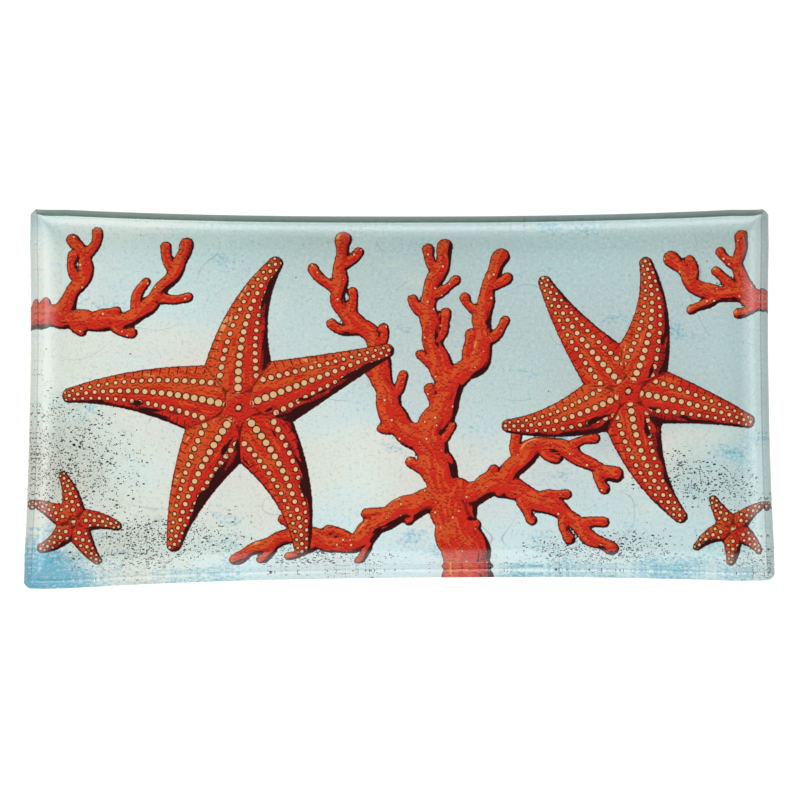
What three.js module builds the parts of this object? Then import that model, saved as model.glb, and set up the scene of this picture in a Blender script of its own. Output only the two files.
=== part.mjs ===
// A shallow rectangular tray of slumped glass, with a printed paper sheet pasted to its underside.
// Millimetres, +Z up, the long side along X. The origin is under the tray's middle, on the surface
// that it stands on.
import * as THREE from "three";
import { mergeGeometries, mergeVertices } from "three/addons/utils/BufferGeometryUtils.js";

// Driving dimensions
const LENGTH = 305; // over the corners, along X
const WIDTH = 160.4; // over the corners at the left end, along Y
const NEAR_SKEW = 3.5; // how much the near side draws in at its right end, where the tray is narrower
const SIDE_BOW = 2.9; // how far the middle of each long side draws in from its corners
const END_BOW = 1.1; // the same for each short side
const BOW_POWER = 2.4; // 2 draws in along a parabola, more keeps the middle straighter
const GLASS_THICKNESS = 5;
const LIP_WIDTH = 15; // how much of the sheet curls up, measured in plan
const LIP_SLOPE = THREE.MathUtils.degToRad(45); // at the very edge
const LIP_BLEND = 2.6; // how two lips meet: more keeps the corner as low as the sides
const CORNER_CUT = 2; // how much of each side the corner's cut takes
const CORNER_PRESS = 0.43; // 0.5 cuts the corner straight across, less leaves it rounder
const EDGE_BULGE = 0.9; // how far the ground edge stands out of the sheet
const EDGE_SQUARENESS = 2.6; // 2 is a half-round edge, more is a flatter one
const EDGE_SHOWN = 0.292; // how much of the bulge shows in plan, as the edge leans up
const PAPER_THICKNESS = 0.3;

// How finely the solids are faceted
const LIP_STEPS = 6; // from the corner's cut to the flat
const FLAT_STEPS_X = 16;
const FLAT_STEPS_Y = 8;
const EDGE_STEPS = 6;

// Worked out from those
const EDGE_REACH = EDGE_BULGE * EDGE_SHOWN;
const HALF_LENGTH = LENGTH / 2 - EDGE_REACH;
const HALF_WIDTH = WIDTH / 2 - EDGE_REACH;
const BEND_RADIUS = LIP_WIDTH / Math.sin(LIP_SLOPE);

// Where the facets' lines run across half a side, from the middle (0) to the edge (1).
function halfLines(half, flatSteps) {
  const lines = [];
  for (let i = 0; i <= flatSteps / 2; i++) {
    lines.push(((half - LIP_WIDTH) * i) / (flatSteps / 2));
  }
  for (let i = 1; i <= LIP_STEPS; i++) {
    lines.push(half - LIP_WIDTH + ((LIP_WIDTH - CORNER_CUT) * i) / LIP_STEPS);
  }
  lines.push(half);
  return lines.map((line) => line / half);
}

function wholeLines(half, flatSteps) {
  const positive = halfLines(half, flatSteps);
  const negative = positive.slice(1).reverse().map((line) => -line);
  return negative.concat(positive);
}

const LINES_X = wholeLines(HALF_LENGTH, FLAT_STEPS_X);
const LINES_Y = wholeLines(HALF_WIDTH, FLAT_STEPS_Y);

// How high the lip stands, and how steep it is, at a distance in from the sheet's edge.
// The lip is an arc that starts level.
function lip(inFromEdge) {
  const out = Math.max(0, LIP_WIDTH - inFromEdge);
  const drop = Math.sqrt(BEND_RADIUS * BEND_RADIUS - out * out);
  return { rise: BEND_RADIUS - drop, slope: out / drop };
}

// How far a side draws in at a distance along it from its middle. It is straight past the start of the
// other sides' lips.
function drawnIn(bow, along, half) {
  return bow * (1 - Math.min(1, along / (half - LIP_WIDTH)) ** BOW_POWER);
}

// How far the near side draws in besides, at a place along X. It starts at the left end's corner cut.
function askew(x) {
  return (NEAR_SKEW * Math.max(0, x + HALF_LENGTH - CORNER_CUT)) / (2 * HALF_LENGTH);
}

// The glass sheet's underside at (u, v), each from -1 to 1: the place on it, the normal into the glass,
// and the way out of the sheet, which only means something at its edge.
function underside(u, v) {
  let x = Math.abs(u) * HALF_LENGTH;
  let y = Math.abs(v) * HALF_WIDTH;
  let outX = Math.abs(u) === 1 ? 1 : 0;
  let outY = Math.abs(v) === 1 ? 1 : 0;
  const a = (x - HALF_LENGTH) / CORNER_CUT + 1;
  const b = (y - HALF_WIDTH) / CORNER_CUT + 1;
  if (a > 0 && b > 0) {
    // The square corner is pressed onto its cut.
    outX = a * (1 - b * CORNER_PRESS);
    outY = b * (1 - a * CORNER_PRESS);
    x = HALF_LENGTH - CORNER_CUT * (1 - outX);
    y = HALF_WIDTH - CORNER_CUT * (1 - outY);
  }
  const alongX = lip(HALF_LENGTH - x);
  const alongY = lip(HALF_WIDTH - y);
  const height = (alongX.rise ** LIP_BLEND + alongY.rise ** LIP_BLEND) ** (1 / LIP_BLEND);
  const slopeX = height > 0 ? alongX.slope * (alongX.rise / height) ** (LIP_BLEND - 1) : 0;
  const slopeY = height > 0 ? alongY.slope * (alongY.rise / height) ** (LIP_BLEND - 1) : 0;
  const sideX = Math.sign(u);
  const sideY = Math.sign(v);
  const normal = new THREE.Vector3(-sideX * slopeX, -sideY * slopeY, 1).normalize();
  const out = new THREE.Vector3(sideX * outX, sideY * outY, 0);
  out.addScaledVector(normal, -out.dot(normal)).normalize();
  const drawnX = drawnIn(END_BOW, y, HALF_WIDTH);
  const drawnY = drawnIn(SIDE_BOW, x, HALF_LENGTH) + (v < 0 ? askew(sideX * x) : 0);
  const placeX = sideX * (x - drawnX * (x / HALF_LENGTH));
  const placeY = sideY * (y - drawnY * (y / HALF_WIDTH));
  const place = new THREE.Vector3(placeX, placeY, PAPER_THICKNESS + height);
  return { place, normal, out };
}

// The (u, v) of every facet corner round the sheet's edge, anticlockwise seen from above.
function edgeRound() {
  const front = LINES_X.slice(0, -1).map((u) => [u, -1]);
  const right = LINES_Y.slice(0, -1).map((v) => [1, v]);
  const back = LINES_X.slice(1).reverse().map((u) => [u, 1]);
  const left = LINES_Y.slice(1).reverse().map((v) => [-1, v]);
  return [...front, ...right, ...back, ...left];
}

// A PlaneGeometry bent into a new shape: place(i, j) gives the point for column i and row j.
// Its faces look up, or down when it is turned over.
function bentPlane(columns, rows, place, turnedOver = false) {
  const plane = new THREE.PlaneGeometry(1, 1, columns, rows);
  const position = plane.getAttribute("position");
  for (let row = 0; row <= rows; row++) {
    for (let column = 0; column <= columns; column++) {
      const point = place(column, rows - row);
      position.setXYZ(row * (columns + 1) + column, point.x, point.y, point.z);
    }
  }
  plane.deleteAttribute("normal");
  plane.deleteAttribute("uv");
  if (turnedOver) plane.index.array.reverse();
  return plane;
}

// A closed sheet between two heights over the glass's underside, measured along its normal.
// bulge is how far the edge stands out, and edgeSteps how many facets it has from bottom to top.
function closedSheet(low, high, bulge, edgeSteps) {
  const columns = LINES_X.length - 1;
  const rows = LINES_Y.length - 1;
  const round = edgeRound();

  function raised(u, v, height) {
    const { place, normal } = underside(u, v);
    return place.addScaledVector(normal, height);
  }

  function onEdge(i, j) {
    const [u, v] = round[i % round.length];
    const { place, normal, out } = underside(u, v);
    if (j === 0) return place.addScaledVector(normal, low);
    if (j === edgeSteps) return place.addScaledVector(normal, high);
    const turn = Math.PI * (j / edgeSteps - 0.5);
    const across = Math.sign(turn) * Math.abs(Math.sin(turn)) ** (2 / EDGE_SQUARENESS);
    const outwards = Math.cos(turn) ** (2 / EDGE_SQUARENESS);
    place.addScaledVector(normal, (low + high) / 2 + (across * (high - low)) / 2);
    return place.addScaledVector(out, bulge * outwards);
  }

  const top = bentPlane(columns, rows, (i, j) => raised(LINES_X[i], LINES_Y[j], high));
  const bottom = bentPlane(columns, rows, (i, j) => raised(LINES_X[i], LINES_Y[j], low), true);
  const edge = bentPlane(round.length, edgeSteps, onEdge);
  const sheet = mergeVertices(mergeGeometries([top, bottom, edge]), 1e-4);
  sheet.computeVertexNormals();
  return sheet;
}

function glassTray() {
  const glass = new THREE.MeshStandardMaterial({
    color: 0xd5e6e0,
    roughness: 0.04,
    metalness: 0,
    transparent: true,
    opacity: 0.35,
  });
  const mesh = new THREE.Mesh(closedSheet(0, GLASS_THICKNESS, EDGE_BULGE, EDGE_STEPS), glass);
  mesh.name = "glass_tray";
  return mesh;
}

function printedPaper() {
  const paper = new THREE.MeshStandardMaterial({ color: 0xb6ced0, roughness: 0.8, metalness: 0 });
  const mesh = new THREE.Mesh(closedSheet(-PAPER_THICKNESS, 0, 0, 1), paper);
  mesh.name = "printed_paper";
  return mesh;
}

const tray = new THREE.Group();
tray.name = "decoupage_tray";
tray.add(glassTray(), printedPaper());

export default tray;
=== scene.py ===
"""A shallow tray of slumped clear glass with a printed sheet pasted under it, on a pale studio floor.

The glass and the sheet are worked out as surfaces on a grid. The sheet's print, a branch of red coral and
starfish over a sea-blue wash with speckled sand, is drawn by distance fields that the grid carries and the
sheet's material reads. Everything is in metres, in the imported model's own frame, but the print's own sizes
are in millimetres.
"""

import math
from collections import namedtuple
from functools import partial

import bpy
import numpy as np
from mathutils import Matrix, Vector


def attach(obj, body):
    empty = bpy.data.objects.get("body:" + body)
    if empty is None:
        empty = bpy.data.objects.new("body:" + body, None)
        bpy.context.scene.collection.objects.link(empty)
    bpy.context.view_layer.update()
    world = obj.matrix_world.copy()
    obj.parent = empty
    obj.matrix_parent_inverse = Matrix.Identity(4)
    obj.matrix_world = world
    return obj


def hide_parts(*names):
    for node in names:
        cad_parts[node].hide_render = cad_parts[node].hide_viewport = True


bl_info = {
    "name": "Slumped glass tray",
    "version": (1, 0, 0),
    "blender": (4, 5, 0),
    "location": "3D View > Sidebar > Tray",
    "description": "Builds a slumped glass tray with a printed sheet under it, and a studio to show it in",
    "category": "Add Mesh",
}

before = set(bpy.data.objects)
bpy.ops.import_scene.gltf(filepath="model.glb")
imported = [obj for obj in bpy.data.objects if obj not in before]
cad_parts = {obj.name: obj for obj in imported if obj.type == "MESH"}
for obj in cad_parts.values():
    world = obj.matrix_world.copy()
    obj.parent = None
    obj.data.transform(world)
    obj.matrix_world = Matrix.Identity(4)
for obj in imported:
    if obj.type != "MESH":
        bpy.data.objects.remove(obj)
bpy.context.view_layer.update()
MM = 0.001

# The glass. Grid steps run over the flat, the lip and the corner's cut of half a side, along X and along Y.
GLASS_STEPS = ((40, 20, 4), (22, 20, 4))
EDGE_STEPS = 14  # over the ground edge, from the underside to the top
EDGE_SHOWN = 0.292  # how much of the ground edge's bulge shows in plan, as it leans up
CORNER_PRESS = 0.48  # 0.5 cuts a corner straight across, less leaves it rounder
CALM_POWER = 6  # more lets the waves come closer to the edge
END_EDGE_SHADE = 0.35  # painted shade on the ground edge at the ends, where the far side's is 1
RIGHT_EDGE_SHADE = 0.2  # how much more painted shade the right end gets
POLISHED, GROUND = 0.012, 0.1  # roughness of the faces and of the ground edge

# The pasted sheet
SHEET_STEPS = ((137, 13, 2), (62, 13, 2))
SHEET_INSET = 0.3 * MM  # how far its edge stays inside the glass's
SHEET_SUNK = 0.06 * MM  # how far its face lies inside the glass
FIELD_PARTS = 40  # the print's fields are worked out in parts, to save memory

# The studio
FLOOR_HALF = 3.0
AIM = Vector((0.25, 0.8, 0)) * MM  # where the camera looks
FILM_WIDTH = 36  # in millimetres
NEAR_CLIP = 0.01

# The light tent, by the way to it: its part along X or Y, or along Z for heights
BOX_EDGE, BOX_FULL = 0.55, 0.8  # where a light box fades in, and where it is full
BOX_LOW, BOX_MIDDLE, BOX_HIGH = 0.24, 0.5, 0.76
FRONT_BOX, RIGHT_BOX, LEFT_BOX = 3.9, 2.2, 1.8  # how bright
TENT_FRONT, TENT_BACK = (-0.5, 1.35), (0.6, 1.7)  # where, and how bright
TOP_STARTS, TOP_DARK = 0.72, 0.93
TOP_GLOW = 0.05

# Blender's names for the nodes that the materials use most, and the colour sockets of its mix.
MATH = "ShaderNodeMath"
RAMP = "ShaderNodeMapRange"
MIX = "ShaderNodeMix"
NOISE = "ShaderNodeTexNoise"
CELLS = "ShaderNodeTexVoronoi"
PLACE = "ShaderNodeMapping"
READ = "ShaderNodeAttribute"
SPLIT = "ShaderNodeSeparateXYZ"
CHANNELS = "ShaderNodeSeparateColor"
VECTOR = "ShaderNodeVectorMath"
PRINCIPLED = "ShaderNodeBsdfPrincipled"
SHARE, UNDER, OVER = 0, 6, 7
RGBA = {"out": 2, "data_type": "RGBA"}

# The print's motifs, in millimetres on the flat sheet, x to the right and y away from the viewer.
# Each branch of coral: its radius at the start and at the tip, and the points it runs through.
CORAL_BRANCHES = (
    (11.5, 8.0, ((30, -86), (26, -64), (22, -42))),
    (7.8, 3.0, ((22, -42), (13, -20), (20, 6), (12, 34), (19, 66))),
    (6.0, 2.8, ((13, -20), (-4, -4), (-9, 22), (-25, 44), (-22, 69))),
    (5.6, 2.8, ((20, 6), (34, 22), (35, 44), (43, 61))),
    (6.0, 2.8, ((22, -42), (42, -36), (64, -46), (86, -63))),
    (5.0, 2.7, ((42, -36), (54, -20), (70, -22), (88, -32))),
    (6.0, 2.8, ((22, -42), (2, -45), (-20, -60), (-46, -57), (-66, -68))),
    (5.4, 2.8, ((-164, 28), (-140, 36), (-118, 33), (-98, 46), (-88, 67))),
    (4.0, 2.6, ((-140, 36), (-130, 54), (-134, 69))),
    (5.4, 2.8, ((164, 34), (146, 44), (128, 46), (112, 60))),
    (3.8, 2.6, ((146, 44), (140, 58), (142, 70))),
)
CORAL_SPACING = 0.8  # from disc to disc
CORAL_SEED = 11
CORAL_TAPER = 1.2  # 1 tapers evenly, more thins sooner
CORAL_HELD = 12  # how far from its start a branch wavers less
CORAL_WAVERS = ((0.9, 4.6, 1.7), (0.4, 2.1, 2.9))  # sines aside: height, length of a radian, phase by branch
CORAL_KNOTS = ((0.08, 3.3, 2.3), (0.04, 1.5, 1.0))  # the same for the radius, as shares of it
TIP_SWELL = 0.22  # share by which a tip swells
TIP_REACH = 1.2  # how far back that reaches, in tip radii
TWIG_FIRST, TWIG_GAP, TWIG_CLEAR = 15, 11.0, 5  # the first's start, the gaps, the last to the tip
TWIG_STRAY = 2.5  # how far their starts stray
TWIG_REACH = (8, 14)  # the shortest and the longest
TWIG_RADII = (2.8, 1.9)  # at start and tip
TWIG_LEAVES, TWIG_CURLS = 1.15, 0.8  # the angle at which they leave, and what of it they lose, in radians
SPAN_SAMPLES = 40  # of a smooth path, between two of its points

# Each starfish: its middle, its arms' length, their radius at root and tip, and its turn in degrees.
STARFISH = (
    (-66, -3, 66, 18.0, 3.2, 21),
    (94, 4, 55, 14.5, 2.9, -9),
    (136, -54, 16, 5.2, 1.8, 51),
    (-133, -51, 19, 6.0, 2.0, 14),
)
ARMS = 5
ARM_SPACING = 0.6  # from disc to disc
ARM_STARTS = 0.4  # where an arm's discs start, in root radii
ARM_TAPER = 1.1
ARM_STRAY = 6  # how far arms stray from even turns, in degrees
ARM_VARIES = 0.06  # share by which their lengths differ
ARM_BEND, ARM_BEND_POWER = 0.3, 1.5  # how far their tips bend aside, in radians, and how late
MIDDLE_RADIUS = 1.12  # the middle's, in root radii
KNOB_SPACING = 3.4  # from knob to knob along an arm
KNOB_ROOM = 10  # the largest radius that a middle's knob is sized for

# Each drift of sand: its middle, half its length and width, and its turn in degrees.
SAND_DRIFTS = (
    (-100, -60, 32, 12, 8),
    (-32, -66, 28, 8, -6),
    (84, -63, 30, 8, 4),
    (124, -34, 26, 10, -14),
    (-138, -26, 28, 24, -15),
    (150, -68, 18, 9, 0),
)
# Each kind of grain: its cell's size, how much longer than wide, its turn in radians, the share of its cells
# that are filled where the sand is thick, and the share besides all over the sheet.
SAND_GRAINS = (
    (0.75, 1.0, 0.0, 0.85, 0.0015),
    (0.8, 2.0, 0.55, 0.6, 0.0),
)
SAND_CLUMP = 8
GRAIN_JOG = 0.7  # how far grains are jogged out of round, and over how much

# About how large the print's other marks are, in millimetres
BLUE_PATCH, BARE_PATCH, DEEP_PATCH = 60, 41, 26
FLECK = 1.5
PAPER_GRAIN = 0.6
HAIR_SWAY, HAIR_BREAK = 48, 19  # how far a hairline swings, and how often it fades
WASH_STROKE = (10, 2)  # along an arm and across it
BRUSH_STROKE = (15, 3)
RAGGED_EDGE = 1.4
SCALE_MARK, SCALE_SHIFT = 1.4, 0.42
HATCH = 1.5  # from line to line
POLYP_SPACING = 3.4
MOTIF_LIGHT = (-0.62, 0.58, 0.53)  # the way to the light that shades the motifs

Surface = namedtuple("Surface", "place normal way flat")


def linear(code):
    """An RGBA colour in linear light from an sRGB hex code such as "#c8dcd8"."""
    srgb = np.array([int(code[i : i + 2], 16) for i in (1, 3, 5)]) / 255
    light = np.where(srgb <= 0.04045, srgb / 12.92, ((srgb + 0.055) / 1.055) ** 2.4)
    return (*light.tolist(), 1.0)


def metres(name, description, default):
    """A length property in metres."""
    return bpy.props.FloatProperty(
        name=name,
        description=description,
        default=default,
        min=0,
        precision=5,
        unit="LENGTH",
        subtype="DISTANCE",
    )


def number(name, description, default, low, high):
    """A plain number property between two limits."""
    return bpy.props.FloatProperty(name=name, description=description, default=default, min=low, max=high)


def colour(name, description, code):
    """A colour property from an sRGB hex code."""
    return bpy.props.FloatVectorProperty(
        name=name,
        description=description,
        default=linear(code),
        size=4,
        min=0,
        max=1,
        subtype="COLOR",
    )


class TraySizes(bpy.types.PropertyGroup):
    """The tray's driving sizes."""

    length: metres("Length", "Over the corners, along X", 0.305)
    width: metres("Width", "Over the corners at the left end, along Y", 0.1604)
    skew: metres("Near skew", "How much the near side draws in at its right end", 0.0035)
    side_bow: metres("Side bow", "How far the middle of a long side draws in", 0.0029)
    end_bow: metres("End bow", "How far the middle of a short side draws in", 0.0011)
    bow_power: number("Bow power", "2 is a parabola, more keeps the middle straighter", 2.4, 1, 10)
    glass: metres("Glass", "Thickness of the glass", 0.005)
    lip: metres("Lip", "How much of the sheet curls up, in plan", 0.015)
    slope: bpy.props.FloatProperty(
        name="Lip slope",
        description="Slope of the lip at its very edge",
        default=math.radians(45),
        min=0,
        max=math.radians(80),
        subtype="ANGLE",
    )
    lip_blend: number("Lip blend", "How two lips meet: more keeps the corner low", 2.6, 1, 4)
    corner: metres("Corner cut", "How much of each side the corner's cut takes", 0.002)
    bulge: metres("Edge bulge", "How far the ground edge stands out of the sheet", 0.0009)
    squareness: number("Edge squareness", "2 is a half-round edge, more is flatter", 2.6, 2, 8)
    paper: metres("Paper", "Thickness of the pasted sheet", 0.0003)
    waviness: metres("Waviness", "Height of the slumped surface's slow waves", 0.00003)


class TrayColours(bpy.types.PropertyGroup):
    """The print's inks and washes, its back, and the glass's edge."""

    wash_far: colour("Far wash", "The wash's grey-green along the far side", "#cedcd8")
    # The near wash's paleness is in part painted light on the near side.
    near_wash_and_light: colour("Near wash", "The wash's pale blue along the near side", "#edfcfe")
    wash_blue: colour("Blue wash", "Soft blue patches in the wash", "#cfdfe0")
    wash_deep: colour("Deep wash", "The bluest patches and flecks", "#6abbd6")
    wash_cream: colour("Cream", "Bare paper in the wash", "#f9f5eb")
    sand: colour("Sand", "The grey-buff sand", "#dcd5c8")
    speck: colour("Specks", "The sand's dark specks", "#2f333d")
    red: colour("Red", "The motifs' body colour", "#e03022")
    deep_red: colour("Deep red", "The motifs' shaded side", "#b5241e")
    orange: colour("Orange", "The motifs' lit side", "#e9582a")
    pale: colour("Pale orange", "The brightest strokes", "#f3a266")
    ink: colour("Ink", "Outlines and shading strokes", "#3c1415")
    knob: colour("Knobs", "Pale knobs and polyps", "#f6c894")
    back_dark: colour("Dark back", "The mottled back's darker tone", "#e2dccb")
    back_light: colour("Light back", "The mottled back's lighter tone", "#efeade")
    # The ground edge's green at its darkest, mixed in by the edge's painted shade, fully on the far side
    edge: colour("Edge", "The ground edge where it is darkest", "#28433a")


class StudioSettings(bpy.types.PropertyGroup):
    """The camera, the floor and the light."""

    tilt: bpy.props.FloatProperty(
        name="Tilt",
        description="How far the camera leans to the front from straight above",
        default=math.radians(14.2),
        subtype="ANGLE",
    )
    distance: metres("Distance", "From the camera to the tray", 2.2)
    lens: bpy.props.FloatProperty(
        name="Lens", description="Focal length", default=241, min=10, unit="CAMERA"
    )
    floor: colour("Floor", "The pale floor", "#f4f4f2")
    light: number("Light", "How bright the light tent is", 1.14, 0, 10)


def half_sides(sizes):
    """Half the glass sheet's length and width, without what shows of its ground edge in plan."""
    reach = sizes.bulge * EDGE_SHOWN
    return sizes.length / 2 - reach, sizes.width / 2 - reach


def grid_lines(sizes, steps):
    """Where grid lines cross the sheet along X and along Y, from -1 at one edge to 1 at the other.

    From the middle out they are evenly spaced over the flat, then the lip, then the corner's cut."""
    both = []
    for half, (flat_steps, lip_steps, corner_steps) in zip(half_sides(sizes), steps):
        flat = np.linspace(0, half - sizes.lip, flat_steps + 1)
        bend = np.linspace(half - sizes.lip, half - sizes.corner, lip_steps + 1)[1:]
        cut = np.linspace(half - sizes.corner, half, corner_steps + 1)[1:]
        lines = np.concatenate([flat, bend, cut]) / half
        lines[-1] = 1.0
        both.append(np.concatenate([-lines[:0:-1], lines]))
    return both


def underside(sizes, u, v):
    """The glass's underside at (u, v), each from -1 to 1.

    It gives each point's place, the normal into the glass, the way out of the sheet, which only means
    something at its edge, and the place on the sheet before it was bent.

    In plan the sheet is a rectangle whose corners are cut across: the square corner's grid is pressed onto
    the cut, where each side gives up a share of what the other has run. Its sides draw in by a power of the
    distance along them, and are straight past the other sides' lips. The near side is askew: it draws in
    evenly more to the right. Each lip rises as a circular arc that starts level. Where two lips meet, the
    height to the power of the blend is the sum of theirs to that power. On the sheet before it was bent, the
    arc's own length counts in place of its plan."""
    half = half_sides(sizes)
    radius = sizes.lip / math.sin(sizes.slope)
    side = [np.sign(u), np.sign(v)]
    plan = [np.abs(u) * half[0], np.abs(v) * half[1]]
    out = [(np.abs(u) == 1).astype(float), (np.abs(v) == 1).astype(float)]
    a = (plan[0] - half[0]) / sizes.corner + 1
    b = (plan[1] - half[1]) / sizes.corner + 1
    cut = (a > 0) & (b > 0)
    pressed = [a * (1 - b * CORNER_PRESS), b * (1 - a * CORNER_PRESS)]
    out = [np.where(cut, p, o) for p, o in zip(pressed, out)]
    plan = [np.where(cut, h - sizes.corner * (1 - p), q) for h, p, q in zip(half, pressed, plan)]
    past = [np.maximum(0, sizes.lip - (h - q)) for h, q in zip(half, plan)]
    drop = [np.sqrt(radius**2 - p**2) for p in past]
    rise = [radius - d for d in drop]
    height = (rise[0] ** sizes.lip_blend + rise[1] ** sizes.lip_blend) ** (1 / sizes.lip_blend)
    share = [np.divide(r, height, out=np.zeros_like(height), where=height > 0) for r in rise]
    steep = [f ** (sizes.lip_blend - 1) * p / d for f, p, d in zip(share, past, drop)]
    normal = np.stack([-side[0] * steep[0], -side[1] * steep[1], np.ones_like(height)], -1)
    normal /= np.linalg.norm(normal, axis=-1, keepdims=True)
    way = np.stack([side[0] * out[0], side[1] * out[1], np.zeros_like(height)], -1)
    way -= normal * (way * normal).sum(-1, keepdims=True)
    way /= np.maximum(np.linalg.norm(way, axis=-1, keepdims=True), 1e-9)
    straight = [np.minimum(1, q / (h - sizes.lip)) ** sizes.bow_power for h, q in zip(half, plan)]
    along = np.maximum(0, side[0] * plan[0] + half[0] - sizes.corner) / (2 * half[0])
    askew = np.where(v < 0, sizes.skew * along, 0)
    drawn = [
        sizes.end_bow * (1 - straight[1]) * plan[0] / half[0],
        (sizes.side_bow * (1 - straight[0]) + askew) * plan[1] / half[1],
    ]
    place = [s * (q - d) for s, q, d in zip(side, plan, drawn)]
    place = np.stack([*place, sizes.paper + height], -1)
    arc = [radius * np.arcsin(p / radius) - p for p in past]
    flat = np.stack([s * (q + e - d) for s, q, e, d in zip(side, plan, arc, drawn)], -1)
    return Surface(place, normal, way, flat)


def slow_waves(place):
    """Two crossed waves of a slumped surface, about 70 mm and 60 mm long, each bent by a longer one."""
    x, y = place[..., 0], place[..., 1]
    along = np.sin(x * 88 + 1.3 * np.sin(y * 61))
    across = np.sin(y * 104 + 1.1 * np.sin(x * 47) + 2)
    return along + 0.8 * across


def edge_order(grid):
    """The outer cells of a grid, anticlockwise from the near left corner."""
    return np.concatenate([grid[0, :-1], grid[:-1, -1], grid[-1, :0:-1], grid[:0:-1, 0]])


def ground_edge(sizes, surface):
    """Rings of points over the ground edge, from the underside up, and its painted shade round a ring.

    In section the edge is half a superellipse, which eases from both faces into the ground end. By the
    squares of the way out's parts, painted shade darkens it most on the far side, less at the ends, more at
    the right end, and not at all in front."""
    base, up, out = (edge_order(part) for part in (surface.place, surface.normal, surface.way))
    power = 2 / sizes.squareness
    turns = np.pi * (np.arange(1, EDGE_STEPS) / EDGE_STEPS - 0.5)
    rise = 1 + np.sign(turns) * np.abs(np.sin(turns)) ** power
    reach = np.cos(turns) ** power
    rings = [base + up * sizes.glass / 2 * r + out * sizes.bulge * s for r, s in zip(rise, reach)]
    way = out[:, :2] / np.linalg.norm(out[:, :2], axis=1, keepdims=True)
    to_right, to_far = np.maximum(way, 0).T
    # Painted shade: the far side is darkest, the ends less and the right end more, the front none.
    tone = END_EDGE_SHADE * way[:, 0] ** 2 + RIGHT_EDGE_SHADE * to_right**2 + to_far**2
    return rings, tone


def quad_mesh(name, points, quads):
    """A smooth mesh from an array of points and an array of quads."""
    mesh = bpy.data.meshes.new(name)
    mesh.vertices.add(len(points))
    mesh.vertices.foreach_set("co", points.astype(np.float32).ravel())
    mesh.loops.add(quads.size)
    mesh.loops.foreach_set("vertex_index", quads.astype(np.int32).ravel())
    mesh.polygons.add(len(quads))
    mesh.polygons.foreach_set("loop_start", np.arange(0, quads.size, 4, dtype=np.int32))
    mesh.polygons.foreach_set("use_smooth", np.ones(len(quads), dtype=bool))
    mesh.update(calc_edges=True)
    mesh.validate()
    return mesh


def closed_sheet(top, bottom, rings):
    """Points and quads of a closed sheet: a top grid, a bottom grid and rings of points between their edges.

    top and bottom are grids of points, rows along Y and columns along X. rings holds, from bottom to top,
    one ring of points for each step over the edge, anticlockwise from the near left corner. Points and quads
    come as top, bottom, edge."""
    rows, columns = top.shape[:2]
    index = np.arange(rows * columns).reshape(rows, columns)
    square = np.stack([index[:-1, :-1], index[:-1, 1:], index[1:, 1:], index[1:, :-1]], -1).reshape(-1, 4)
    around = edge_order(index)
    steps = [around + rows * columns]
    first = 2 * rows * columns
    for ring in rings:
        steps.append(np.arange(len(ring)) + first)
        first += len(ring)
    steps.append(around)
    band = [
        np.stack([low, np.roll(low, -1), np.roll(high, -1), high], -1)
        for low, high in zip(steps[:-1], steps[1:])
    ]
    points = np.concatenate([top.reshape(-1, 3), bottom.reshape(-1, 3), *rings])
    return points, [square, square[:, ::-1] + rows * columns, np.concatenate(band)]


def smooth_path(points, spacing):
    """A Catmull-Rom curve through the points, at about even spacing, with each sample's distance along it.

    Between two points it is the cubic whose end slopes are half the chord between their neighbours."""
    p = np.array(points, float)
    p = np.vstack([2 * p[0] - p[1], p, 2 * p[-1] - p[-2]])
    t = np.linspace(0, 1, SPAN_SAMPLES, endpoint=False)[:, None]
    a, b, c, d = (p[i : len(p) - 3 + i, None] for i in range(4))
    bent = (2 * a - 5 * b + 4 * c - d) * t**2 + (3 * b - a - 3 * c + d) * t**3
    curve = 0.5 * (2 * b + (c - a) * t + bent)
    curve = np.vstack([curve.reshape(-1, 2), p[-2]])
    along = np.concatenate([[0], np.cumsum(np.linalg.norm(np.diff(curve, axis=0), axis=1))])
    even = np.linspace(0, along[-1], max(3, int(along[-1] / spacing)))
    return np.stack([np.interp(even, along, curve[:, k]) for k in (0, 1)], -1), even


def headings(path):
    """The unit tangent at each point of a path."""
    tangent = np.gradient(path, axis=0)
    return tangent / np.linalg.norm(tangent, axis=1, keepdims=True)


def chain(path, radius, along, arm):
    """Discs along a path: rows of x, y, radius, distance along, heading and the arm's number."""
    return np.column_stack([path, radius, along, headings(path), np.full(len(path), arm)])


def ripple(along, number, waves):
    """A sum of sines of the distance along a branch, whose phases step with the branch's number."""
    return sum(height * np.sin(along / radian + phase * number) for height, radian, phase in waves)


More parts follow.
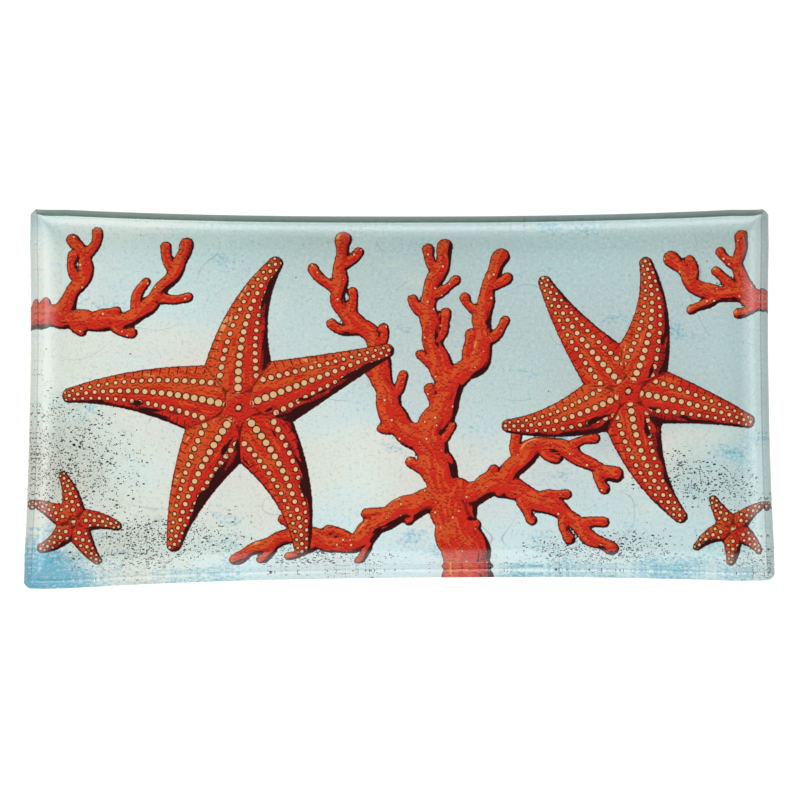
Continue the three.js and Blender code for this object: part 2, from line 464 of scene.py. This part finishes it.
def coral_discs():
    """Discs that fill the coral, in millimetres.

    A disc is carried along each branch's smooth path and along short twigs, which leave it to both sides in
    turn and curl towards its tip. Each path wavers. The radius eases from root to tip by a power, with slow
    knots, and swells at the tip."""
    draw = np.random.default_rng(CORAL_SEED)
    grown = []
    for root, tip, points in CORAL_BRANCHES:
        path, along = smooth_path(points, CORAL_SPACING)
        grown.append((root, tip, path, along))
        heading = np.arctan2(*np.gradient(path, axis=0).T[::-1])
        starts = np.arange(TWIG_FIRST, along[-1] - TWIG_CLEAR, TWIG_GAP)
        starts = starts + draw.uniform(-TWIG_STRAY, TWIG_STRAY, len(starts))
        reaches = draw.uniform(*TWIG_REACH, len(starts))
        for number, (start, reach) in enumerate(zip(starts, reaches)):
            at = np.searchsorted(along, start)
            run = np.arange(0, reach, CORAL_SPACING)
            turn = heading[at] + (-1) ** number * (TWIG_LEAVES - TWIG_CURLS * run / reach)
            steps = np.stack([np.cos(turn), np.sin(turn)], -1) * CORAL_SPACING
            grown.append((*TWIG_RADII, path[at] + np.cumsum(steps, axis=0), run))
    discs = []
    for number, (root, tip, path, along) in enumerate(grown):
        to_tip = along[-1] - along
        x, y = headings(path).T
        free = np.minimum(along, CORAL_HELD) / CORAL_HELD
        waver = ripple(along, number, CORAL_WAVERS) * free
        path = path + np.stack([-y, x], -1) * waver[:, None]
        radius = tip + (root - tip) * (1 - along / along[-1]) ** CORAL_TAPER
        radius *= 1 + ripple(along, number, CORAL_KNOTS)
        radius *= 1 + TIP_SWELL * np.exp(-((to_tip / (TIP_REACH * tip)) ** 2))
        discs.append(chain(path, radius, along, number))
    return np.vstack(discs)


def starfish_discs():
    """Discs that fill the starfish, in millimetres.

    Each has a round middle and five arms, whose paths bend a little to one side and whose radius eases from
    root to tip by a power. Their turns, lengths and bends vary by sines of the arm's number. The middle's
    disc has no direction."""
    discs = []
    for number, (x, y, reach, root, tip, turn) in enumerate(STARFISH):
        first = (ARMS + 1) * number
        discs.append([[x, y, root * MIDDLE_RADIUS, 0, 0, 0, first]])
        for arm in range(ARMS):
            stray = ARM_STRAY * math.sin(3.1 * arm + x)
            heading = math.radians(turn + 360 / ARMS * arm + stray)
            long = reach * (1 + ARM_VARIES * math.sin(2.3 * arm + y))
            along = np.arange(root * ARM_STARTS, long, ARM_SPACING)
            aside = ARM_BEND * math.sin(1.9 * arm + x)
            bend = heading + aside * (along / long) ** ARM_BEND_POWER
            path = np.stack([x + along * np.cos(bend), y + along * np.sin(bend)], -1)
            radius = tip + (root - tip) * (1 - along / long) ** ARM_TAPER
            discs.append(chain(path, radius, along, first + 1 + arm))
    return np.vstack(discs)


def motif_fields(sheet, discs):
    """For each flat-sheet point: how far inside the discs' edge it is, how lit, where on its arm, and how
    far from the seam with the next arm.

    The distance inside is the largest of radius less distance to the centre, and outside it is negative. The
    light falls on a tube of that radius: the slope is the offset from the disc's centre, and the rest of the
    unit normal stands up. The place on the arm is the distance along it, the distance across it and its
    radius there. In a middle disc the distance along it starts at a knob, which its radius keeps small, and
    ends before the next. The seam's distance is how much less the next arm's distance inside is. All in
    millimetres."""
    points = sheet.astype(np.float32)
    discs = discs.astype(np.float32)
    centre, way = discs[:, :2], discs[:, 4:6]
    radius, along, number = discs[:, 2], discs[:, 3], discs[:, 6]
    first = np.flatnonzero(np.diff(number, prepend=-1))
    inside, lit, seam = np.empty((3, len(points)), np.float32)
    arm = np.empty((len(points), 3), np.float32)
    x, y, z = MOTIF_LIGHT
    for part in np.array_split(np.arange(len(points)), FIELD_PARTS):
        offset = points[part, None] - centre
        depth = radius - np.hypot(offset[..., 0], offset[..., 1])
        best = depth.argmax(1)
        row = np.arange(len(part))
        inside[part] = depth[row, best]
        two = np.partition(np.maximum.reduceat(depth, first, axis=1), -2, axis=1)[:, -2:]
        seam[part] = two[:, 1] - two[:, 0]
        offset, heading, size = offset[row, best], way[best], radius[best]
        slope = offset / size[:, None]
        up = np.sqrt(np.clip(1 - (slope**2).sum(1), 0, 1))
        lit[part] = slope[:, 0] * x + slope[:, 1] * y + up * z
        in_middle = (heading == 0).all(1)
        run = along[best] + (offset * heading).sum(1)
        from_knob = np.minimum(2 * np.hypot(offset[:, 0], offset[:, 1]) / KNOB_SPACING, 1)
        ring = (from_knob + 1) * KNOB_SPACING / 2
        arm[part, 0] = np.where(in_middle, ring, run)
        arm[part, 1] = offset[:, 1] * heading[:, 0] - offset[:, 0] * heading[:, 1]
        arm[part, 2] = np.where(in_middle, np.minimum(size, KNOB_ROOM), size)
    return {"edge": inside, "light": lit, "arm": arm, "seam": seam}


def sand_field(sheet):
    """How thick the sand lies at each flat-sheet point, from 0 to 1: ellipses that fall off as exp(-r²)."""
    field = np.zeros(len(sheet))
    for x, y, long, wide, turn in SAND_DRIFTS:
        cos, sin = math.cos(math.radians(turn)), math.sin(math.radians(turn))
        away = (sheet - (x, y)) @ np.array([[cos, -sin], [sin, cos]]) / (long, wide)
        field = np.maximum(field, np.exp(-(away**2).sum(1)))
    return field


def add(tree, kind, inputs=(), out=0, **settings):
    """Adds a node and gives one of its outputs, or the node itself where it has none.

    inputs are values or links, in the order of the node's sockets or keyed by their number or name. settings
    are the node's own properties."""
    node = tree.nodes.new(kind)
    for name, value in settings.items():
        setattr(node, name, value)
    for key, value in (inputs if isinstance(inputs, dict) else dict(enumerate(inputs))).items():
        if isinstance(value, bpy.types.NodeSocket):
            tree.links.new(value, node.inputs[key])
        else:
            node.inputs[key].default_value = value
    return node.outputs[out] if node.outputs else node


def new_material(name):
    """An empty node material and its tree."""
    material = bpy.data.materials.new(name)
    material.use_nodes = True
    material.node_tree.nodes.clear()
    return material, material.node_tree


def glass_material(colours):
    """Soda-lime glass, slumped and fire-polished, with a ground edge: clear, glossy, green where deep.

    The edge attributes say where it is ground and how much painted shade darkens that edge."""
    material, tree = new_material("soda_lime_glass_slumped")
    node = partial(add, tree)
    ground = node(READ, (), "Fac", attribute_name="ground")
    tone = node(READ, (), "Fac", attribute_name="painted_edge_shade")
    surface = node(
        PRINCIPLED,
        {
            # The ground edge's colour is darkened towards the edge green by its painted shade.
            "Base Color": node(MIX, {SHARE: tone, UNDER: (1, 1, 1, 1), OVER: colours.edge}, **RGBA),
            "Roughness": node(RAMP, [ground, 0, 1, POLISHED, GROUND]),
            "IOR": 1.52,
            "Transmission Weight": 1.0,
        },
    )
    # Iron in the glass takes about 0.9% of red and 0.3% of green and blue from each millimetre.
    depth = node("ShaderNodeVolumeAbsorption", {"Color": (0.15, 0.72, 0.66, 1), "Density": 10.5})
    node("ShaderNodeOutputMaterial", {"Surface": surface, "Volume": depth})
    return material


def wash_colour(tree, sheet, colours):
    """The print's background: a thin wash over cream paper, with a watercolour's grainy flecks.

    It pales to the near side and the left end, and towards the near side that is in part painted light.
    Bare paper shows most below the middle and to the left, and soft blue to the right. The bluest patches
    lie along the near side, most at its left end. A few faint hairlines cross it, along the level lines of
    a slow noise. Noise lies mostly between 0.3 and 0.7, so the limits of its ramps do too."""
    node = partial(add, tree)
    x, y = node(SPLIT, [sheet]).node.outputs[:2]
    wide = node(PLACE, {"Vector": sheet, "Location": (3, 7, 0), "Scale": (0.5, 1, 1)})
    to_right = node(RAMP, [x, -130, 100, -0.07, 0.24])
    patches = node(NOISE, {"Vector": wide, "Scale": 1 / BLUE_PATCH, "Detail": 3.0})
    patches = node(RAMP, [node(MATH, [patches, to_right], operation="ADD"), 0.44, 0.7, 0, 0.9])
    result = node(MIX, {SHARE: patches, UNDER: colours.wash_far, OVER: colours.wash_blue}, **RGBA)
    # Paler towards the near side and the left end: the wash's own colour, and towards the near side in part
    # painted light.
    pale = node(MATH, [y, node(RAMP, [x, -140, 100, -95, 36])], operation="ADD")
    pale = node(RAMP, [pale, 35, -62])
    result = node(MIX, {SHARE: pale, UNDER: result, OVER: colours.near_wash_and_light}, **RGBA)
    middle = node(MATH, [node(MATH, [y, 34], operation="ADD")], operation="ABSOLUTE")
    middle = node(RAMP, [middle, 50, 10, 0, 0.16])
    cream = node(NOISE, {"Vector": wide, "Scale": 1 / BARE_PATCH, "Detail": 4.0})
    cream = node(MATH, [node(MATH, [cream, middle], operation="ADD"), to_right], operation="SUBTRACT")
    cream = node(RAMP, [cream, 0.46, 0.66, 0, 0.9])
    result = node(MIX, {SHARE: cream, UNDER: result, OVER: colours.wash_cream}, **RGBA)
    flecks = node(NOISE, {"Vector": sheet, "Scale": 1 / FLECK, "Detail": 3.0, "Roughness": 0.75})
    low = node(RAMP, [y, -40, -78, 0, 0.24])
    low = node(MATH, [low, node(RAMP, [x, -130, -60, 1, 0.4])], operation="MULTIPLY")
    deep = node(NOISE, {"Vector": wide, "Scale": 1 / DEEP_PATCH, "Detail": 5.0, "Roughness": 0.65})
    deep = node(MATH, [flecks, 0.6, node(MATH, [deep, low], operation="ADD")], operation="MULTIPLY_ADD")
    deep = node(RAMP, [deep, 0.9, 1.09])
    blue = node(MATH, [deep, node(RAMP, [flecks, 0.54, 0.7, 0, 0.42])], operation="MAXIMUM")
    result = node(MIX, {SHARE: blue, UNDER: result, OVER: colours.wash_deep}, **RGBA)
    bare = node(RAMP, [flecks, 0.46, 0.3, 0, 0.55])
    result = node(MIX, {SHARE: bare, UNDER: result, OVER: colours.wash_cream}, **RGBA)
    level = node(NOISE, {"Vector": sheet, "Scale": 1 / HAIR_SWAY, "Detail": 1.0})
    level = node(MATH, [node(MATH, [level, 0.5], operation="SUBTRACT")], operation="ABSOLUTE")
    hair = node(RAMP, [level, 0.0026, 0.0008])
    dark = node(RAMP, [node(NOISE, {"Vector": wide, "Scale": 1 / HAIR_BREAK}), 0.5, 0.62, 1.0, 0.72])
    hair = node(MIX, {"Factor": hair, "A": 1.0, "B": dark})
    grain = node(RAMP, [node(NOISE, {"Vector": sheet, "Scale": 1 / PAPER_GRAIN}), 0.3, 0.7, 0.93, 1.04])
    grain = node(MATH, [grain, hair], operation="MULTIPLY")
    return node(VECTOR, {0: result, "Scale": grain}, operation="SCALE")


def sand_specks(tree, sheet, below, colours):
    """Drifts of speckled sand over the colour below: a buff tint, most at the left end, under dark grains.

    The grains are about half a millimetre across, and some are short dashes. They clump and thin outwards,
    and a few lie all over the sheet."""
    node = partial(add, tree)
    drift = node(READ, (), "Fac", attribute_name="sand")
    clumps = node(NOISE, {"Vector": sheet, "Scale": 1 / SAND_CLUMP, "Detail": 3.0})
    dense = node(RAMP, [node(MATH, [clumps, 0.9, drift], operation="MULTIPLY_ADD"), 0.6, 1.3])
    jog = node(NOISE, {"Vector": sheet, "Scale": 1 / GRAIN_JOG}, "Color")
    ragged = node(VECTOR, {0: jog, 1: (GRAIN_JOG, GRAIN_JOG, 0), 2: sheet}, operation="MULTIPLY_ADD")
    buff = node(RAMP, [node(SPLIT, [sheet], "X"), -140, -80, 0.65, 0.2])
    buff = node(MATH, [dense, buff], operation="MULTIPLY")
    below = node(MIX, {SHARE: buff, UNDER: below, OVER: colours.sand}, **RGBA)
    for size, stretch, turn, share, stray in SAND_GRAINS:
        chance = node(MATH, [dense, share, stray], operation="MULTIPLY_ADD")
        place = node(PLACE, {"Vector": ragged, "Rotation": (0, 0, turn), "Scale": (1 / stretch, 1, 1)})
        cells = node(CELLS, {"Vector": place, "Scale": 1 / size}).node.outputs
        lots = node(CHANNELS, [cells["Color"]]).node.outputs
        here = node(MATH, [lots[0], chance], operation="LESS_THAN")
        reach = node(MATH, [lots[1], 0.32, 0.14], operation="MULTIPLY_ADD")
        grain = node(MATH, [cells["Distance"], reach], operation="LESS_THAN")
        grain = node(MATH, [here, grain], operation="MULTIPLY")
        below = node(MIX, {SHARE: grain, UNDER: below, OVER: colours.speck}, **RGBA)
    return below


def paint_motif(tree, sheet, below, name, colours, pattern, heavy):
    """A hand-tinted engraving of a motif over the colour below: washes run along its arms, shade to light.

    Each wash's edge is ragged. Orange dabs, each over a dark crescent, roughen it. pattern adds the motif's
    own marks. Ink goes over it all: fine hatching across the half-shade, bold brush strokes along the shade,
    more of them where heavy is higher, and an outline that is heavier there. Near a seam, where the place on
    the arm jumps, the strokes die out."""
    node = partial(add, tree)
    edge = node(READ, (), "Fac", attribute_name=name + "_edge")
    lit = node(READ, (), "Fac", attribute_name=name + "_light")
    arm = node(READ, (), "Vector", attribute_name=name + "_arm")
    seam = node(READ, (), "Fac", attribute_name=name + "_seam")
    clear = node(RAMP, [seam, 0.4, 1.4])
    ragged = node(NOISE, {"Vector": sheet, "Scale": 1 / RAGGED_EDGE})
    edge = node(MATH, [ragged, 0.8, edge], operation="MULTIPLY_ADD")
    edge = node(MATH, [edge, 0.4], operation="SUBTRACT")
    # Washes, from the shaded side's to the brightest
    strokes = node(PLACE, {"Vector": arm, "Scale": (1 / WASH_STROKE[0], 1 / WASH_STROKE[1], 0)})
    strokes = node(NOISE, {"Vector": strokes, "Scale": 1.0, "Detail": 3.0})
    strokes = node(RAMP, [strokes, 0.25, 0.75, -0.6, 0.6])
    tone = node(MATH, [strokes, clear, lit], operation="MULTIPLY_ADD")
    result = colours.deep_red
    for dark, light, wash in (
        (-0.08, 0.04, colours.red),
        (0.56, 0.66, colours.orange),
        (1.15, 1.22, colours.pale),
    ):
        result = node(MIX, {SHARE: node(RAMP, [tone, dark, light]), UNDER: result, OVER: wash}, **RGBA)
    # Dabs and crescents: a crescent is what a dab leaves of the same dab a little way off.
    marks = []
    for shift in (0.0, SCALE_SHIFT):
        place = node(PLACE, {"Vector": sheet, "Location": (0, shift, 0)})
        marks.append(node(RAMP, [node(CELLS, {"Vector": place, "Scale": 1 / SCALE_MARK}), 0.46, 0.34]))
    dabs = node(MATH, [marks[1], node(RAMP, [tone, 0.2, 0.55, 0.0, 0.6])], operation="MULTIPLY")
    result = node(MIX, {SHARE: dabs, UNDER: result, OVER: colours.orange}, **RGBA)
    scales = node(MATH, marks, operation="SUBTRACT", use_clamp=True)
    scales = node(MATH, [scales, node(RAMP, [tone, 0.1, 0.6, 0.35, 0.85])], operation="MULTIPLY")
    result = node(MIX, {SHARE: scales, UNDER: result, OVER: colours.ink}, **RGBA)
    result = pattern(tree, {"sheet": sheet, "arm": arm, "seam": seam}, result, colours)
    # Ink: hatching, brush strokes and the outline
    turns = node(MATH, [node(SPLIT, [arm], "X"), 1 / HATCH], operation="MULTIPLY")
    turns = node(MATH, [ragged, 0.5, turns], operation="MULTIPLY_ADD")
    turns = node(MATH, [node(MATH, [turns], operation="FRACT"), 0.5], operation="SUBTRACT")
    hatch = node(RAMP, [node(MATH, [turns], operation="ABSOLUTE"), 0.2, 0.1])
    hatch = node(MATH, [hatch, node(RAMP, [tone, 0.02, -0.12, 0.0, 0.75])], operation="MULTIPLY")
    hatch = node(MATH, [hatch, clear], operation="MULTIPLY")
    brush = node(PLACE, {"Vector": arm, "Scale": (1 / BRUSH_STROKE[0], 1 / BRUSH_STROKE[1], 0)})
    brush = node(RAMP, [node(NOISE, {"Vector": brush, "Scale": 1.0}), 0.3, 0.7, -0.5, 0.5])
    shade = node(MATH, [brush, clear, lit], operation="MULTIPLY_ADD")
    shade = node(RAMP, [shade, heavy, heavy - 0.08])
    weight = node(RAMP, [lit, 0.5, -0.6, 0.4, 1.5])
    line = node(RAMP, [node(MATH, [edge, weight], operation="SUBTRACT"), 0.14, -0.14])
    ink = node(MATH, [hatch, node(MATH, [shade, line], operation="MAXIMUM")], operation="MAXIMUM")
    result = node(MIX, {SHARE: ink, UNDER: result, OVER: colours.ink}, **RGBA)
    inside = node(RAMP, [edge, -0.12, 0.12])
    return node(MIX, {SHARE: inside, UNDER: below, OVER: result}, **RGBA)


def coral_polyps(tree, fields, below, colours):
    """Pale polyps about a millimetre across, scattered over the coral, each in a dark ring."""
    node = partial(add, tree)
    cells = node(CELLS, {"Vector": fields["sheet"], "Scale": 1 / POLYP_SPACING}).node.outputs
    there = node(MATH, [node(CHANNELS, [cells["Color"]]), 0.55], operation="LESS_THAN")
    for outside, inside, tint in ((0.24, 0.19, colours.deep_red), (0.16, 0.11, colours.knob)):
        round_it = node(RAMP, [cells["Distance"], outside, inside])
        round_it = node(MATH, [there, round_it], operation="MULTIPLY")
        below = node(MIX, {SHARE: round_it, UNDER: below, OVER: tint}, **RGBA)
    return below


def starfish_rows(tree, fields, below, colours):
    """Rows of pale knobs down each arm's middle and both its sides, and short dark strokes at its edges.

    The side rows lie half a spacing on, and the strokes lie level with them. The rows stop short of the seam
    between two arms, which is a dark crease."""
    node = partial(add, tree)
    along, across, radius = node(SPLIT, [fields["arm"]]).node.outputs
    off = node(MATH, [across], operation="ABSOLUTE")
    turns = node(MATH, [along, 1 / KNOB_SPACING], operation="MULTIPLY")
    beside = node(MATH, [radius, -0.5, off], operation="MULTIPLY_ADD")
    size = node(MATH, [radius, 0.065, 0.45], operation="MULTIPLY_ADD")
    knobs = []
    for shift, aside, share in ((0.0, across, 1.0), (0.5, beside, 0.78)):
        turn = node(MATH, [node(MATH, [turns, shift], operation="ADD")], operation="FRACT")
        away = node(MATH, [turn, KNOB_SPACING, -KNOB_SPACING / 2], operation="MULTIPLY_ADD")
        far = node(MATH, [away, away], operation="MULTIPLY")
        far = node(MATH, [aside, aside, far], operation="MULTIPLY_ADD")
        far = node(MATH, [far], operation="SQRT")
        knobs.append(node(MATH, [size, -share, far], operation="MULTIPLY_ADD"))
    knob = node(MATH, knobs, operation="MINIMUM")
    on_arm = node(RAMP, [fields["seam"], 0.9, 1.3])
    rim = node(RAMP, [knob, 0.55, 0.35])
    # Here away is still the side rows' own.
    plate = node(RAMP, [node(MATH, [away], operation="ABSOLUTE"), 0.28, 0.12])
    outer = node(RAMP, [node(MATH, [off, radius], operation="DIVIDE"), 0.68, 0.76])
    marks = node(MATH, [rim, node(MATH, [plate, outer], operation="MULTIPLY")], operation="MAXIMUM")
    marks = node(MATH, [marks, on_arm], operation="MULTIPLY")
    crease = node(RAMP, [fields["seam"], 0.75, 0.3, 0, 0.8])
    marks = node(MATH, [marks, crease], operation="MAXIMUM")
    below = node(MIX, {SHARE: marks, UNDER: below, OVER: colours.ink}, **RGBA)
    pale = node(MATH, [node(RAMP, [knob, 0.1, -0.1]), on_arm], operation="MULTIPLY")
    return node(MIX, {SHARE: pale, UNDER: below, OVER: colours.knob}, **RGBA)


def print_material(colours):
    """Matt paper printed in washes and inks, pasted flat to glass: no gloss of its own, a soft grain."""
    material, tree = new_material("printed_paper_pasted")
    sheet = add(tree, READ, (), "Vector", attribute_name="sheet")
    result = wash_colour(tree, sheet, colours)
    result = sand_specks(tree, sheet, result, colours)
    for name, pattern, heavy in (("coral", coral_polyps, 0.06), ("starfish", starfish_rows, 0.0)):
        result = paint_motif(tree, sheet, result, name, colours, pattern, heavy)
    surface = add(tree, PRINCIPLED, {"Base Color": result, "Roughness": 0.85, "Specular IOR Level": 0.0})
    add(tree, "ShaderNodeOutputMaterial", {"Surface": surface})
    return material


def paper_back_material(colours):
    """Uncoated paper sealed with a thin varnish: warm white, a little mottled, with a dull sheen.

    The mottling is about 9 mm across and the fibres 0.7 mm, coarser than real ones so that they show."""
    material, tree = new_material("varnished_paper_back")
    node = partial(add, tree)
    place = node("ShaderNodeTexCoord", (), "Object")
    mottle = node(NOISE, {"Vector": place, "Scale": 1 / (9 * MM), "Detail": 5.0})
    fibre = node(NOISE, {"Vector": place, "Scale": 1 / (0.7 * MM)})
    tone = node(RAMP, [node(MATH, [fibre, 0.4, mottle], operation="MULTIPLY_ADD"), 0.5, 0.9])
    tint = node(MIX, {SHARE: tone, UNDER: colours.back_dark, OVER: colours.back_light}, **RGBA)
    bump = node("ShaderNodeBump", {"Height": fibre, "Strength": 0.15, "Distance": 0.05 * MM})
    sheen = node(RAMP, [mottle, 0.3, 0.7, 0.42, 0.58])
    surface = node(PRINCIPLED, {"Base Color": tint, "Roughness": sheen, "Normal": bump})
    node("ShaderNodeOutputMaterial", {"Surface": surface})
    return material


def floor_material(tint):
    """Matt white background paper: even, without gloss."""
    material, tree = new_material("matt_background_paper")
    surface = add(tree, PRINCIPLED, {"Base Color": tint, "Roughness": 0.9, "Specular IOR Level": 0.1})
    add(tree, "ShaderNodeOutputMaterial", {"Surface": surface})
    return material


def light_tent(strength):
    """A soft white tent round the tray, with a light box in front and one at each side, and a dark top.

    Height is the sine of the elevation. The boxes stand half-way up, with gaps between them, and the one in
    front is the brightest. The tent itself is brightest behind. Everything fades smoothly, so that no
    reflection has an edge."""
    world = bpy.data.worlds.new("light_tent")
    world.use_nodes = True
    world.node_tree.nodes.clear()
    node = partial(add, world.node_tree)
    x, y, height = node(SPLIT, [node("ShaderNodeTexCoord", (), "Generated")]).node.outputs
    smooth = {"interpolation_type": "SMOOTHSTEP"}
    boxes = node(RAMP, [y, -BOX_EDGE, -BOX_FULL, 0.0, FRONT_BOX], **smooth)
    for side, bright in ((1, RIGHT_BOX), (-1, LEFT_BOX)):
        box = node(RAMP, [x, side * BOX_EDGE, side * BOX_FULL, 0.0, bright], **smooth)
        boxes = node(MATH, [boxes, box], operation="ADD")
    rise = node(RAMP, [height, BOX_LOW, BOX_MIDDLE], **smooth)
    fall = node(RAMP, [height, BOX_HIGH, BOX_MIDDLE], **smooth)
    band = node(MATH, [rise, fall], operation="MULTIPLY")
    tent = node(RAMP, [y, TENT_FRONT[0], TENT_BACK[0], TENT_FRONT[1], TENT_BACK[1]], **smooth)
    tent = node(MATH, [tent, node(RAMP, [height, TOP_DARK, TOP_STARTS], **smooth)], operation="MULTIPLY")
    light = node(MATH, [boxes, band, tent], operation="MULTIPLY_ADD")
    light = node(MATH, [light, strength, TOP_GLOW], operation="MULTIPLY_ADD")
    shine = node("ShaderNodeBackground", {"Color": (1, 1, 1, 1), "Strength": light})
    node("ShaderNodeOutputWorld", {"Surface": shine})
    return world


def put_attribute(mesh, name, values):
    """Stores one value, or one vector, for each of the mesh's points."""
    kind, field = ("FLOAT_VECTOR", "vector") if values.ndim == 2 else ("FLOAT", "value")
    mesh.attributes.new(name, kind, "POINT").data.foreach_set(field, values.astype(np.float32).ravel())


def place_piece(context, name, mesh, node):
    """Puts a mesh into the scene as a piece that rides on the tray and stands for a node of the frame."""
    piece = bpy.data.objects.new(name, mesh)
    context.scene.collection.objects.link(piece)
    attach(piece, "root")
    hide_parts(node)


class TRAY_OT_glass(bpy.types.Operator):
    """Make the slumped glass"""

    bl_idname = "tray.glass"
    bl_label = "Slumped glass"

    def execute(self, context):
        """The glass is a closed sheet between its underside and the same surface lifted along its normal.

        Slow waves of a slumped surface lift the top, and die out at the edge, which is ground."""
        sizes = context.scene.tray_sizes
        u, v = grid_lines(sizes, GLASS_STEPS)
        surface = underside(sizes, *np.meshgrid(u, v))
        calm = np.minimum(1 - np.abs(u)[None, :] ** CALM_POWER, 1 - np.abs(v)[:, None] ** CALM_POWER)
        lift = sizes.glass + sizes.waviness * slow_waves(surface.place) * calm
        top = surface.place + surface.normal * lift[..., None]
        # tone is the painted shade on the ground edge, darkest on the far side.
        rings, tone = ground_edge(sizes, surface)
        points, faces = closed_sheet(top, surface.place, rings)
        mesh = quad_mesh("slumped_glass", points, np.concatenate(faces))
        on_faces = np.zeros(2 * len(u) * len(v))
        shade_on_edge = np.tile(tone, len(rings))
        put_attribute(mesh, "ground", np.concatenate([on_faces, np.ones_like(shade_on_edge)]))
        put_attribute(mesh, "painted_edge_shade", np.concatenate([on_faces, shade_on_edge]))
        mesh.materials.append(glass_material(context.scene.tray_colours))
        place_piece(context, "slumped_glass", mesh, "glass_tray")
        return {"FINISHED"}


class TRAY_OT_sheet(bpy.types.Operator):
    """Make the printed sheet"""

    bl_idname = "tray.sheet"
    bl_label = "Printed sheet"

    def execute(self, context):
        """The sheet follows the glass's underside, and its back is the surface that the tray stands on.

        Its face lies a hair inside the glass, as pasted paper has no air between. Face and back carry the
        print's fields alike."""
        sizes = context.scene.tray_sizes
        colours = context.scene.tray_colours
        lines = zip(grid_lines(sizes, SHEET_STEPS), half_sides(sizes))
        surface = underside(sizes, *np.meshgrid(*(line * (1 - SHEET_INSET / half) for line, half in lines)))
        face = surface.place + surface.normal * SHEET_SUNK
        back = surface.place - surface.normal * sizes.paper
        points, faces = closed_sheet(face, back, [])
        mesh = quad_mesh("printed_sheet", points, np.concatenate(faces))
        flat = surface.flat.reshape(-1, 2) / MM
        fields = {"sheet": np.column_stack([flat, np.zeros(len(flat))]), "sand": sand_field(flat)}
        for motif, discs in (("coral", coral_discs()), ("starfish", starfish_discs())):
            for name, values in motif_fields(flat, discs).items():
                fields[motif + "_" + name] = values
        for name, values in fields.items():
            put_attribute(mesh, name, np.concatenate([values, values]))
        mesh.materials.append(print_material(colours))
        mesh.materials.append(paper_back_material(colours))
        slots = np.repeat([0, 1, 1], [len(part) for part in faces]).astype(np.int32)
        mesh.polygons.foreach_set("material_index", slots)
        place_piece(context, "printed_sheet", mesh, "printed_paper")
        return {"FINISHED"}


class TRAY_OT_studio(bpy.types.Operator):
    """Make the floor, the lights and the camera"""

    bl_idname = "tray.studio"
    bl_label = "Studio"

    def execute(self, context):
        """A wide floor under the tray, a light tent round it, and a camera that looks down."""
        scene = context.scene
        settings = scene.studio_settings
        corners = np.array([(-1, -1, 0), (1, -1, 0), (1, 1, 0), (-1, 1, 0)]) * FLOOR_HALF
        mesh = quad_mesh("floor", corners, np.arange(4).reshape(1, 4))
        mesh.materials.append(floor_material(settings.floor))
        floor = bpy.data.objects.new("floor", mesh)
        scene.collection.objects.link(floor)
        scene.world = light_tent(settings.light)
        scene.view_settings.view_transform = "Standard"
        view = bpy.data.cameras.new("camera")
        view.lens = settings.lens
        view.sensor_width = FILM_WIDTH
        view.clip_start = NEAR_CLIP
        camera = bpy.data.objects.new("camera", view)
        away = Vector((0, -math.sin(settings.tilt), math.cos(settings.tilt)))
        camera.location = AIM + away * settings.distance
        camera.rotation_euler = (settings.tilt, 0, 0)
        scene.collection.objects.link(camera)
        scene.camera = camera
        return {"FINISHED"}


class TRAY_PT_sidebar(bpy.types.Panel):
    """The tray's pieces and settings"""

    bl_idname = "TRAY_PT_sidebar"
    bl_label = "Glass tray"
    bl_space_type = "VIEW_3D"
    bl_region_type = "UI"
    bl_category = "Tray"

    def draw(self, context):
        """A button for each operator, then a box for each group of settings."""
        scene = context.scene
        for operator in (TRAY_OT_glass, TRAY_OT_sheet, TRAY_OT_studio):
            self.layout.operator(operator.bl_idname)
        for group in (scene.tray_sizes, scene.tray_colours, scene.studio_settings):
            box = self.layout.box()
            for name in group.bl_rna.properties.keys():
                if name not in ("rna_type", "name"):
                    box.prop(group, name)


CLASSES = (
    TraySizes,
    TrayColours,
    StudioSettings,
    TRAY_OT_glass,
    TRAY_OT_sheet,
    TRAY_OT_studio,
    TRAY_PT_sidebar,
)


def register():
    """Registers the classes, and puts their settings on the scene."""
    for cls in CLASSES:
        bpy.utils.register_class(cls)
    bpy.types.Scene.tray_sizes = bpy.props.PointerProperty(type=TraySizes)
    bpy.types.Scene.tray_colours = bpy.props.PointerProperty(type=TrayColours)
    bpy.types.Scene.studio_settings = bpy.props.PointerProperty(type=StudioSettings)


def unregister():
    """Takes the settings off the scene, and removes the classes."""
    del bpy.types.Scene.studio_settings
    del bpy.types.Scene.tray_colours
    del bpy.types.Scene.tray_sizes
    for cls in reversed(CLASSES):
        bpy.utils.unregister_class(cls)


def main():
    """Builds the tray and its studio."""
    register()
    bpy.ops.tray.glass()
    bpy.ops.tray.sheet()
    bpy.ops.tray.studio()


if __name__ == "__main__":
    main()
